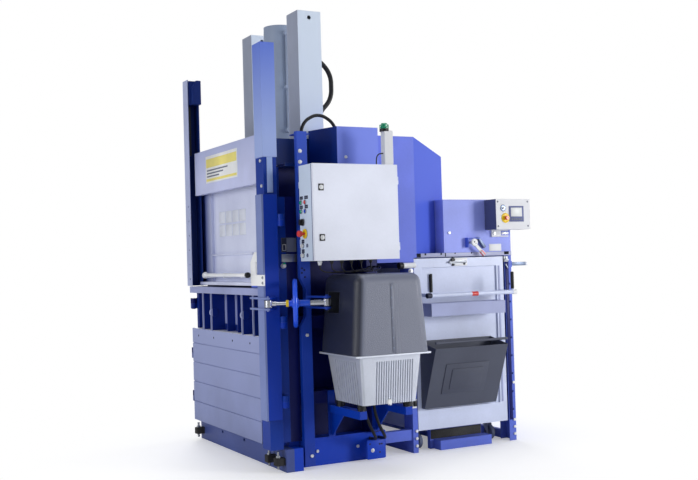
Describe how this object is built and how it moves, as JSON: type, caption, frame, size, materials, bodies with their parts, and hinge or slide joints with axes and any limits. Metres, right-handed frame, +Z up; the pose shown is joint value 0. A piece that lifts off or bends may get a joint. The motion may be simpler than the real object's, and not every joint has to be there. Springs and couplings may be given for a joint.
{
  "type": "recycling baler",
  "caption": "Upright press for waste with a lifting feed door, a swinging bale door, a hand-wheel lock, a power pack and a side bay that holds a trolley.",
  "frame": {"origin": "on the floor under the press ram", "axes": "+Z up; +X from the bale door to the loading bay; +Y away from the cabinet side"},
  "size_m": [2.156, 2.144, 3.053],
  "materials": {
    "press_blue": "semi-gloss powder coat",
    "pale_blue": "semi-gloss powder coat",
    "column_grey": "satin paint",
    "cabinet_grey": "fine textured powder coat",
    "trolley_white": "semi-gloss powder coat",
    "tray_grey": "satin paint",
    "cast_alloy": "as cast",
    "hood_plastic": "coarse grain",
    "bin_plastic": "matte",
    "bright_steel": "ground and plated",
    "zinc_steel": "zinc plated",
    "wheel_blue": "gloss paint",
    "black_plastic": "matte",
    "hose_rubber": "matte",
    "wheel_rubber": "matte",
    "signal_green": "gloss",
    "signal_red": "gloss",
    "signal_blue": "gloss",
    "switch_white": "gloss",
    "terminal_grey": "fine textured powder coat"
  },
  "bodies": {
    "press": {"base_frame": "press_blue", "chamber_shell": "press_blue", "side_frame": "press_blue", "near_guide_post": "press_blue", "far_guide_post": "press_blue", "head_yoke": "press_blue", "feed_cover": "press_blue", "lift_cover": "press_blue", "bay_hood": "press_blue", "bay_frame": "press_blue", "frame_fittings": "press_blue", "front_panel": "pale_blue", "guide_tubes": "column_grey", "cylinder_barrel": "column_grey", "cabinet_body": "cabinet_grey", "beacon_housing": "cabinet_grey", "oil_tank": "cast_alloy", "motor_hood": "hood_plastic", "frame_bolts": "zinc_steel", "guide_strip": "black_plastic", "control_bezels": "black_plastic", "hydraulic_hoses": "hose_rubber", "cabinet_cables": "hose_rubber", "beacon_lens": "signal_green", "operator_terminal": "terminal_grey"},
    "ram": {"press_platen": "press_blue", "ram_bars": "bright_steel"},
    "feed_door": {"feed_door_panel": "pale_blue", "feed_door_fittings": "press_blue"},
    "latch": {"latch_lever": "zinc_steel"},
    "bale_door": {"bale_door_frame": "press_blue", "slat_cover": "press_blue"},
    "claw": {"claw_column": "press_blue"},
    "lock_link": {"link_rod": "bright_steel"},
    "lock_rod": {"claw_rod": "bright_steel"},
    "lock_wheel": {"handwheel": "wheel_blue"},
    "control_door": {"cabinet_door": "cabinet_grey"},
    "lower_lock": {"cabinet_lock_lower": "bright_steel"},
    "upper_lock": {"cabinet_lock_upper": "bright_steel"},
    "start_push": {"start_button": "signal_green"},
    "stop_push": {"stop_button": "signal_green"},
    "open_push": {"open_button": "signal_red"},
    "reset_push": {"reset_button": "signal_blue"},
    "isolator": {"main_switch": "black_plastic"},
    "stop_head": {"emergency_stop": "signal_red"},
    "upper_selector": {"selector_upper": "switch_white"},
    "lower_selector": {"selector_lower": "switch_white"},
    "terminal_push": {"terminal_stop": "signal_red"},
    "key_switch": {"terminal_key": "bright_steel"},
    "lever": {"release_lever": "trolley_white"},
    "trolley": {"trolley_tub": "trolley_white", "trolley_handle": "trolley_white", "tool_tray": "tray_grey", "strap_bin": "bin_plastic", "trolley_chassis": "zinc_steel"},
    "left_caster": {"caster_fork_left": "zinc_steel"},
    "right_caster": {"caster_fork_right": "zinc_steel"},
    "left_wheel": {"caster_wheel_left": "wheel_rubber"},
    "right_wheel": {"caster_wheel_right": "wheel_rubber"},
    "back_wheels": {"rear_wheels": "wheel_rubber"}
  },
  "joints": [
    {"name": "ram_stroke", "type": "slide", "parent": "press", "child": "ram", "axis": [0, 0, -1], "range_m": [0, 0.72]},
    {"name": "feed_door_lift", "type": "slide", "parent": "press", "child": "feed_door", "axis": [0, 0, 1], "range_m": [0, 0.56]},
    {"name": "latch_swing", "type": "hinge", "parent": "feed_door", "child": "latch", "pos_m": [-0.383, -0.3685, 1.33], "axis": [-1, 0, 0], "range_deg": [0, 60]},
    {"name": "bale_door_swing", "type": "hinge", "parent": "press", "child": "bale_door", "pos_m": [-0.42, 0.816, 0.66], "axis": [0, 0, -1], "range_deg": [0, 110]},
    {"name": "claw_swing", "type": "hinge", "parent": "press", "child": "claw", "pos_m": [-0.386, -0.798, 0.955], "axis": [0, 0, 1], "range_deg": [0, 20]},
    {"name": "link_swing", "type": "hinge", "parent": "press", "child": "lock_link", "pos_m": [-0.17011, -0.99252, 1.078], "axis": [0, 0, 1], "range_deg": [0, 4.51]},
    {"name": "lock_travel", "type": "slide", "parent": "lock_link", "child": "lock_rod", "axis": [0.907, -0.421, 0], "range_m": [0, 0.03284]},
    {"name": "wheel_turn", "type": "hinge", "parent": "lock_link", "child": "lock_wheel", "pos_m": [-0.35062, -0.90873, 1.078], "axis": [0.907, -0.421, 0], "range_deg": [0, 985.25]},
    {"name": "control_door_swing", "type": "hinge", "parent": "press", "child": "control_door", "pos_m": [0.289, -1.129, 1.63], "axis": [0, 0, 1], "range_deg": [0, 120]},
    {"name": "lower_lock_turn", "type": "hinge", "parent": "control_door", "child": "lower_lock", "pos_m": [-0.266, -1.146, 1.483], "axis": [0, -1, 0], "range_deg": [0, 90]},
    {"name": "upper_lock_turn", "type": "hinge", "parent": "control_door", "child": "upper_lock", "pos_m": [-0.266, -1.146, 1.793], "axis": [0, -1, 0], "range_deg": [0, 90]},
    {"name": "start_press", "type": "slide", "parent": "press", "child": "start_push", "axis": [1, 0, 0], "range_m": [0, 0.003], "stiffness_N_per_m": 600},
    {"name": "stop_press", "type": "slide", "parent": "press", "child": "stop_push", "axis": [1, 0, 0], "range_m": [0, 0.003], "stiffness_N_per_m": 600},
    {"name": "open_press", "type": "slide", "parent": "press", "child": "open_push", "axis": [1, 0, 0], "range_m": [0, 0.003], "stiffness_N_per_m": 600},
    {"name": "reset_press", "type": "slide", "parent": "press", "child": "reset_push", "axis": [1, 0, 0], "range_m": [0, 0.003], "stiffness_N_per_m": 600},
    {"name": "isolator_turn", "type": "hinge", "parent": "press", "child": "isolator", "pos_m": [-0.319, -0.995, 1.583], "axis": [-1, 0, 0], "range_deg": [0, 90]},
    {"name": "stop_head_press", "type": "slide", "parent": "press", "child": "stop_head", "axis": [1, 0, 0], "range_m": [0, 0.005], "stiffness_N_per_m": 900},
    {"name": "upper_selector_turn", "type": "hinge", "parent": "press", "child": "upper_selector", "pos_m": [-0.319, -0.983, 1.436], "axis": [-1, 0, 0], "range_deg": [-45, 45]},
    {"name": "lower_selector_turn", "type": "hinge", "parent": "press", "child": "lower_selector", "pos_m": [-0.319, -0.983, 1.376], "axis": [-1, 0, 0], "range_deg": [-45, 45]},
    {"name": "terminal_press", "type": "slide", "parent": "press", "child": "terminal_push", "axis": [0, 1, 0], "range_m": [0, 0.005], "stiffness_N_per_m": 900},
    {"name": "key_turn", "type": "hinge", "parent": "press", "child": "key_switch", "pos_m": [1.313, -0.862, 1.679], "axis": [0, 1, 0], "range_deg": [0, 90]},
    {"name": "lever_lift", "type": "hinge", "parent": "press", "child": "lever", "pos_m": [1.118, -0.763, 1.44], "axis": [0, -1, 0], "range_deg": [0, 75]},
    {"name": "trolley_roll", "type": "slide", "parent": "press", "child": "trolley", "axis": [0, -1, 0], "range_m": [0, 1.4]},
    {"name": "left_caster_swivel", "type": "hinge", "parent": "trolley", "child": "left_caster", "pos_m": [0.725, -0.536, 0.13], "axis": [0, 0, 1], "continuous": true},
    {"name": "right_caster_swivel", "type": "hinge", "parent": "trolley", "child": "right_caster", "pos_m": [1.345, -0.536, 0.13], "axis": [0, 0, 1], "continuous": true},
    {"name": "left_wheel_spin", "type": "hinge", "parent": "left_caster", "child": "left_wheel", "pos_m": [0.725, -0.57, 0.053], "axis": [1, 0, 0], "continuous": true},
    {"name": "right_wheel_spin", "type": "hinge", "parent": "right_caster", "child": "right_wheel", "pos_m": [1.345, -0.57, 0.053], "axis": [1, 0, 0], "continuous": true},
    {"name": "back_wheels_spin", "type": "hinge", "parent": "trolley", "child": "back_wheels", "pos_m": [1.035, 0.202, 0.053], "axis": [1, 0, 0], "continuous": true}
  ],
  "couplings": [
    {"joint": "link_swing", "follows": "claw_swing", "ratio": 0.22517},
    {"joint": "lock_travel", "follows": "claw_swing", "m_per_rad": 0.093896},
    {"joint": "wheel_turn", "follows": "claw_swing", "ratio": 49.164}
  ]
}
